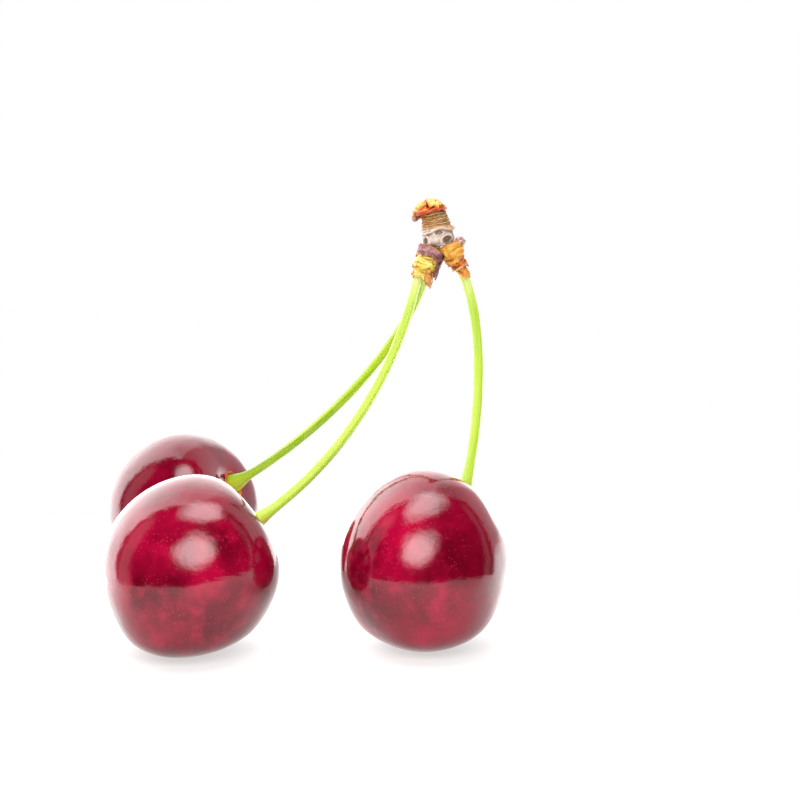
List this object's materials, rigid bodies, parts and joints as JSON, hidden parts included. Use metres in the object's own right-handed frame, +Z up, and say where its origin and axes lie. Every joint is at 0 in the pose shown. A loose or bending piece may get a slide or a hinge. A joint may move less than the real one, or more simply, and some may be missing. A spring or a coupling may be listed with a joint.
{
  "type": "cherries on stalks",
  "caption": "Ripe sweet cherries on curved green stalks that meet at a short woody fruiting spur with papery bud scales, standing on their fruits.",
  "frame": {"origin": "middle of the underside of the bunch's box, on the surface that the fruits stand on", "axes": "+Z up from the surface, -Y towards the front, +X to the right seen from the front"},
  "size_m": [0.0634, 0.0632, 0.063],
  "materials": {
    "cherry_skin": "gloss",
    "stalk_green": "satin",
    "spur_bark": "matte",
    "bud_scale_mauve": "matte",
    "bud_scale_yellow": "matte",
    "bud_scale_orange": "matte",
    "tip_scale_paper": "matte"
  },
  "bodies": {
    "root": {"cherry_front_left": "cherry_skin", "cherry_front_right": "cherry_skin", "cherry_back_left": "cherry_skin", "stalk_front_left": "stalk_green", "stalk_front_right": "stalk_green", "stalk_back_left": "stalk_green", "spur_wood": "spur_bark", "side_bud": "bud_scale_mauve", "left_bud_mauve_cap": "bud_scale_mauve", "left_bud_purple_strip": "bud_scale_mauve", "left_bud_yellow_upper": "bud_scale_yellow", "left_bud_yellow_lower": "bud_scale_yellow", "left_bud_orange_flap": "bud_scale_orange", "left_bud_back_scale": "bud_scale_orange", "right_bud_ridged_scale": "bud_scale_orange", "right_bud_red_scale": "bud_scale_orange", "right_bud_pointed_scale": "bud_scale_orange", "right_bud_back_scale": "bud_scale_orange", "tip_scale_left": "tip_scale_paper", "tip_scale_right": "tip_scale_paper", "tip_scale_back": "tip_scale_paper"}
  },
  "joints": []
}
